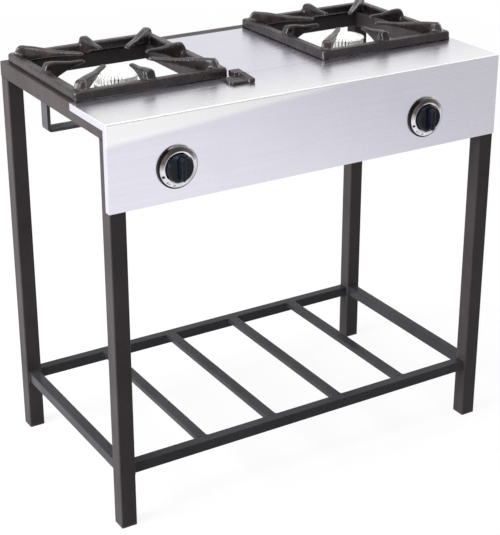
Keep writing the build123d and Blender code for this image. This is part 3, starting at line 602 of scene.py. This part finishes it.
cap_metal = sand_cast("cap_alloy", shade(255, 255, 253), shade(240, 240, 237), cap_skin, 0.15)
coat(cap_metal, *[f"burner_cap_{side}" for side in BOTH_SIDES])

# ------------------------------------------------------------------ control panel and centre panel
# One millimetre stainless sheet with a fine brushed grain from end to end, folded, with
# faint streaks and a few finger smudges. A painted highlight whitens the top of the front face, widest at
# the left, and the top near the front fold.

fold_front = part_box("control_panel")[0][1]
fold_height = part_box("control_panel")[1][2]
fold_highlight_band = (3.5 * MM, 1.5 * MM)
front_skin = (6 * MM, 3 * MM)
top_highlight_depth = (130 * MM, 12 * MM)
front_highlight_depth = 7 * MM
highlight_blur = 4 * MM
highlight_slope = 0.077
brush_depth = 0.0004 * MM

stainless, add, shader = new_finish("brushed_stainless")
place = parted(add, own_place(add))
# Painted highlight: the front face above a sloping line and the top near the fold are tinted white, and the
# fold is made less metallic so that it shows pale.
near_top = level(add, place["Z"], *[fold_height - depth for depth in fold_highlight_band])
near_front = level(add, place["Y"], *[fold_front + depth for depth in fold_highlight_band])
on_front = level(add, place["Y"], *[fold_front + depth for depth in front_skin])
sloping = combined(add, "SUBTRACT", place["Z"], times(add, place["X"], highlight_slope))
highlight_low = fold_height - front_highlight_depth
above = level(add, sloping, highlight_low - highlight_blur, highlight_low + highlight_blur)
toward_fold = level(add, place["Y"], *[fold_front + depth for depth in top_highlight_depth])
painted_highlight = combined(add, "MAXIMUM", times(add, on_front, above), times(add, near_top, toward_fold))
brushing = grain(add, 6, 1300, 1300, detail=2, rough=0.6)
streaks = grain(add, 2, 120, 120, detail=3)
smudges = level(add, grain(add, 9, detail=4), 0.5, 0.75)
silver = tinted(add, level(add, brushing, 0.3, 0.7), shade(231, 230, 241), shade(236, 235, 246))
silver = tinted(add, times(add, level(add, streaks, 0.35, 0.7), 0.2), silver, shade(224, 222, 235))
silver = tinted(add, times(add, smudges, 0.2), silver, shade(218, 216, 228))
plug_in(shader, {
    "Base Color": tinted(add, times(add, painted_highlight, 0.9), silver, shade(255, 255, 255)),
    "Metallic": level(add, times(add, near_top, near_front), 0.0, 1.0, 1.0, 0.15),
    "Roughness": level(add, streaks, 0.3, 0.75, 0.24, 0.32),
    "Normal": relief(add, brushing, brush_depth),
})
coat(stainless, "control_panel", "centre_panel")

# ------------------------------------------------------------------ grates
# Heavy castings of grey iron under glossy black enamel: a square bar frame with four
# feet and eight webs, each with a hump at the frame and a blunt tip over the burner.

grate_low, grate_high = corners_of("grate_left")
grate_half = (grate_high.x - grate_low.x) / 2
rear_foot = 3 * MM
front_foot = 2 * MM
foot_width = 12 * MM
foot_inset = 1 * MM
foot_root = 2 * MM
bar_width = 18 * MM
bar_height = 15 * MM
bar_corner = 7 * MM
bar_round = 3.4 * MM
bar_round_steps = 4
bar_corner_steps = 5
web_stations = 32
web_tip = 60 * MM
web_half = 6.2 * MM
web_crown = 0.4
web_flat = 0.4
web_shoulder_out = 0.82
web_shoulder_drop = 0.3
web_flare = 2.6 * MM
flare_before_bar = 12 * MM
flare_length = 14 * MM
tip_half = 4.4 * MM
tip_widens = 1.2
tip_top = 25.5 * MM
tip_low = 19 * MM
tip_blunt = 3 * MM
blunt_reach = 2 * MM
hump_top = 30 * MM
hump_reach = 4 * MM
hump_begins = 0.35
hump_length = 0.5
heel_out = 0.85
heel_sink = 3 * MM
heel_low = 0.5 * MM
arch_power = 1.8
arch_before_bar = 12 * MM
cast_voxel = 1.7 * MM
cast_wobble = 0.3 * MM
softening_share = 0.5
softening_rounds = 3
sand_lump = 9 * MM
rubbed_highlight_edge = 2.2 * MM
coarse_skin = 0.5 * MM
pebble_skin = 0.22 * MM


def square_path(half, radius):
    """Rounded square of a half width, from corner to corner."""
    points = []
    for corner in range(4):
        start = math.pi / 2 * corner
        middle = Vector((half - radius, half - radius, 0))
        middle.rotate(Euler((0, 0, start)))
        for step in range(bar_corner_steps + 1):
            turn = start + math.pi / 2 * step / bar_corner_steps
            points.append(middle + Vector((math.cos(turn), math.sin(turn), 0)) * radius)
    return points


def bar_frame(surface):
    """Square frame of the bar's section, with its two upper edges rounded."""
    shoulder = bar_height - bar_round
    outline = [(0, 0), (0, shoulder)]
    for step in range(1, bar_round_steps + 1):
        turn = math.pi / 2 * step / bar_round_steps
        outline.append((bar_round - bar_round * math.cos(turn), shoulder + bar_round * math.sin(turn)))
    outline += [(bar_width - inset, height) for inset, height in reversed(outline)]
    loops = []
    for inset, height in outline:
        loops.append([point + Z * height for point in square_path(grate_half - inset, bar_corner)])
    skinned(surface, loops, closed=True)


def smooth_step(share):
    share = min(max(share, 0.0), 1.0)
    return share * share * (3 - 2 * share)


def web(surface, turn, root, arch_end):
    """Web from its tip to the top of the frame bar.

    root is how far out the bar's inner face is, and arch_end how far out the arched underside comes down.
    """
    hump = root + hump_reach
    out_end = root + bar_width * heel_out
    rings = []
    for number in range(web_stations + 1):
        out = web_tip + (out_end - web_tip) * number / web_stations
        inner = (out - web_tip) / (hump - web_tip)
        rise = tip_top + (hump_top - tip_top) * smooth_step((inner - hump_begins) / hump_length)
        blunt = tip_blunt * math.exp(-(out - web_tip) / blunt_reach)
        fall = smooth_step((out - hump) / (out_end - hump))
        top = rise - blunt + (bar_height - heel_sink - hump_top) * fall
        arch = min((out - web_tip) / (arch_end - web_tip), 1.0) ** arch_power
        low = tip_low + blunt / 3 + (heel_low - tip_low) * arch
        flare = web_flare * smooth_step((out - root + flare_before_bar) / flare_length)
        half = tip_half + (web_half - tip_half) * smooth_step(inner * tip_widens) + flare
        crown = half * web_crown
        shoulder = (half * web_shoulder_out, top - crown * web_shoulder_drop)
        right_side = [(half, low), (half, top - crown), shoulder, (half * web_flat, top)]
        section = [(-side, height) for side, height in right_side] + right_side[::-1]
        turned = Matrix.Rotation(turn, 3, "Z")
        rings.append([turned @ Vector((out, side, height)) for side, height in section])
    skinned(surface, rings)


def cast_block(surface, xs, ys, bottom, front_top, rear_top):
    """Block whose top runs from one height at the front to another at the rear."""
    rings = []
    for y, top in zip(ys, (front_top, rear_top)):
        rings.append([(xs[0], y, bottom), (xs[1], y, bottom), (xs[1], y, top), (xs[0], y, top)])
    skinned(surface, rings)


def as_cast(name, surface, voxel, wobble):
    """Runs the joined shapes together as one casting, softens every edge and roughens it slightly."""
    bmesh.ops.recalc_face_normals(surface, faces=surface.faces)
    rough = bpy.data.objects.new(name, finished_mesh(name, surface))
    bpy.context.collection.objects.link(rough)
    remesh = rough.modifiers.new("one_casting", "REMESH")
    remesh.mode = "VOXEL"
    remesh.voxel_size = voxel
    remesh.use_smooth_shade = True
    soften = rough.modifiers.new("soft_edges", "SMOOTH")
    soften.factor = softening_share
    soften.iterations = softening_rounds
    sand = bpy.data.textures.new(name + "_sand", "CLOUDS")
    sand.noise_scale = sand_lump
    lumps = rough.modifiers.new("sand_mould", "DISPLACE")
    lumps.texture = sand
    lumps.texture_coords = "LOCAL"
    lumps.strength = wobble
    mesh = bpy.data.meshes.new_from_object(rough.evaluated_get(bpy.context.evaluated_depsgraph_get()))
    mesh.name = name
    bpy.data.objects.remove(rough)
    return mesh


iron_enamel, add, shader = new_finish("iron_enamel")
pits = add("TexVoronoi", {"Vector": stretched(add, 420, 420, 420), "Scale": 1.0}, feature="SMOOTH_F1")
burnt = level(add, grain(add, 34, detail=5, rough=0.65), 0.42, 0.68)
black = tinted(add, burnt, shade(27, 25, 28), shade(52, 41, 39))
# Rubbed edges: wear, and also a purple-grey painted highlight along the edges of the bars and webs.
rubbed_and_highlight = times(add, sharp_edges(add, rubbed_highlight_edge), level(add, grain(add, 130), 0.35, 0.6))
plug_in(shader, {
    "Base Color": tinted(add, times(add, rubbed_and_highlight, 0.85), black, shade(124, 116, 134)),
    "Roughness": level(add, grain(add, 75, detail=4), 0.3, 0.7, 0.20, 0.36),
    "Specular IOR Level": 0.42,
    "Normal": relief(add, pits.outputs["Distance"], pebble_skin,
                     relief(add, grain(add, 110, detail=4), coarse_skin)),
})

middle_root = grate_half - bar_width
corner_root = middle_root * math.sqrt(2) - bar_corner * (math.sqrt(2) - 1)
middle_arch = middle_root - arch_before_bar
foot_far = grate_half - foot_inset
foot_near = foot_far - foot_width
for side in BOTH_SIDES:
    low, high = corners_of(f"grate_{side}")
    middle = (low + high) / 2
    casting = bmesh.new()
    bar_frame(casting)
    for number in range(4):
        web(casting, math.pi / 2 * number, middle_root, middle_arch)
        web(casting, math.pi / 2 * (number + 0.5), corner_root, corner_root)
    for x_sign in (-1, 1):
        xs = sorted((x_sign * foot_near, x_sign * foot_far))
        for y_sign, foot in ((-1, front_foot), (1, rear_foot)):
            ys = sorted((y_sign * foot_near, y_sign * foot_far))
            cast_block(casting, xs, ys, -foot, foot_root, foot_root)
    bar_bottom = high.z - hump_top - cast_wobble / 2
    bmesh.ops.translate(casting, verts=casting.verts, vec=(middle.x, middle.y, bar_bottom))
    grate_mesh = as_cast(f"grate_casting_{side}", casting, cast_voxel, cast_wobble)
    grate = new_piece(f"grate_casting_{side}", grate_mesh, iron_enamel, f"grate_{side}")
    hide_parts(f"grate_{side}")

# ------------------------------------------------------------------ grate stop
# Small iron casting from the same foundry: a lug with a rib running down to a thin
# plate. It stands on the panel and keeps the left grate in its place.

stop_voxel = 1.0 * MM
stop_wobble = 0.6 * MM
stop_skin = 0.5 * MM
stop_lug = 21.5 * MM
stop_lug_left = 25 * MM
stop_plate_rear = 37 * MM
stop_plate_top = 5.9 * MM
stop_plate_nose = 5.2 * MM
stop_plate_set_back = 3 * MM
stop_notch = 14 * MM
stop_rib = 12 * MM
stop_rib_nose = 7.2 * MM
stop_rib_overlap = 2 * MM

low, high = corners_of("grate_stop")
left, right = low.x + stop_skin, high.x - stop_skin
front, rear = low.y + stop_skin, high.y - stop_skin
bottom, top = low.z + stop_skin / 2, high.z - stop_skin
lug_left = low.x + stop_lug_left
lug_front = rear - stop_lug
plate_rear = front + stop_plate_rear
plate_tops = (low.z + stop_plate_nose, low.z + stop_plate_top)
casting = bmesh.new()
cast_block(casting, (lug_left, right), (lug_front, rear), bottom, top - 2 * stop_skin, top)
cast_block(casting, (left + 3 * stop_skin, right - stop_rib / 2), (front + stop_plate_set_back, plate_rear),
           bottom, *plate_tops)
cast_block(casting, (left, lug_left), (front + stop_notch, plate_rear), bottom, *plate_tops)
cast_block(casting, (right - stop_rib, right), (front, lug_front + stop_rib_overlap), bottom,
           low.z + stop_rib_nose, top - stop_skin)
stop_mesh = as_cast("grate_stop_casting", casting, stop_voxel, stop_wobble)
stop = new_piece("grate_stop_casting", stop_mesh, iron_enamel, "root")
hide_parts("grate_stop")

# ------------------------------------------------------------------ dials
# Pressed and chromed dishes screwed to the panel. Painted shade darkens the slope over the top
# and the edge at the left, and plain marks are printed low down.

rim_inside = 34.2 * MM
lip_outside = 28.4 * MM
rim_blur = 0.5 * MM
lip_blur = 0.4 * MM
ink_blur = 0.5 * MM
mark_circle = 31.2 * MM
shaded_toward = (-0.15, 0.99)
edge_shaded_toward = (-0.92, -0.38)
plating_ripple = 0.01 * MM
off_dot = (202, 2.7 * MM)
small_marks = ((226, 2.1 * MM), (235, 1.6 * MM), (253, 2.2 * MM))
knob_axis = {side: [(a + b) / 2 for a, b in zip(*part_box(f"dial_{side}"))] for side in BOTH_SIDES}


def dial_chrome(side):
    """Chrome with painted shade over the top of the slope and at the left of the edge, bright low down and
    on the inner lip.
    """
    finish, add, shader = new_finish(f"dial_chrome_{side}")
    centred = add("Mapping", {"Vector": own_place(add)})
    centred.inputs["Location"].default_value = (-knob_axis[side][0], 0, -knob_axis[side][2])
    centred.inputs["Scale"].default_value = (1, 0, 1)
    out = add("VectorMath", {0: centred.outputs[0]}, operation="LENGTH").outputs["Value"]
    direction = add("VectorMath", {0: centred.outputs[0]}, operation="NORMALIZE").outputs["Vector"]

    def facing(x, z):
        """1 on the side of the dial in this direction, down to -1 opposite."""
        return add("VectorMath", {0: direction, 1: (x, 0, z)}, operation="DOT_PRODUCT").outputs["Value"]

    def printed(angle, radius):
        """Round spot of ink on the slope."""
        turn = math.radians(angle)
        centre = (mark_circle * math.cos(turn), 0, mark_circle * math.sin(turn))
        away = add("VectorMath", {0: centred.outputs[0], 1: centre}, operation="DISTANCE").outputs["Value"]
        return level(add, away, radius, radius - ink_blur)

    rim = level(add, out, rim_inside, rim_inside + rim_blur)
    lip = level(add, out, lip_outside, lip_outside - lip_blur)
    cloudy = level(add, grain(add, 60, detail=4), 0.35, 0.7)
    silver = tinted(add, cloudy, shade(236, 235, 240), shade(214, 212, 218))
    patchy = times(add, grain(add, 90, detail=4), 0.3)
    # Painted shade: the slope facing up and a little to the left is darkened brown-grey.
    painted_shade = level(add, combined(add, "ADD", facing(*shaded_toward), patchy), 0.25, 0.65)
    slope = tinted(add, painted_shade, silver, shade(104, 95, 88))
    for angle, radius in small_marks:
        slope = tinted(add, times(add, printed(angle, radius), 0.7), slope, shade(92, 88, 84))
    slope = tinted(add, printed(*off_dot), slope, shade(24, 22, 28))
    face = tinted(add, lip, slope, shade(236, 235, 240))
    # Painted shade: the edge is darkened on the left and lower left, and left grey elsewhere.
    edge_shade = level(add, facing(*edge_shaded_toward), -0.35, 0.15)
    edge = tinted(add, edge_shade, shade(172, 170, 174), shade(34, 30, 33))
    plug_in(shader, {
        "Base Color": tinted(add, rim, face, edge),
        "Metallic": level(add, painted_shade, 0.0, 1.0, 0.8, 1.0),
        "Roughness": level(add, grain(add, 160, detail=3), 0.3, 0.7, 0.10, 0.22),
        "Normal": relief(add, grain(add, 900, detail=2), plating_ripple),
    })
    return finish


for side in BOTH_SIDES:
    coat(dial_chrome(side), f"dial_{side}")

# ------------------------------------------------------------------ knobs
# Moulded black phenolic with a high gloss, a raised bar to grip and fine hairline
# scratches. Each is pushed on to the flat end of its tap's stem.

moulded_skin = 0.008 * MM

knob_plastic, add, shader = new_finish("knob_phenolic")
mottled = level(add, grain(add, 120, detail=4), 0.4, 0.7)
scratches = grain(add, 60, 60, 2400, detail=2)
plug_in(shader, {
    "Base Color": tinted(add, mottled, shade(13, 17, 27), shade(26, 34, 50)),
    "Roughness": level(add, scratches, 0.35, 0.7, 0.12, 0.24),
    "Specular IOR Level": 0.22,
    "Normal": relief(add, grain(add, 700, detail=2), moulded_skin),
})
coat(knob_plastic, *[f"knob_{side}" for side in BOTH_SIDES])
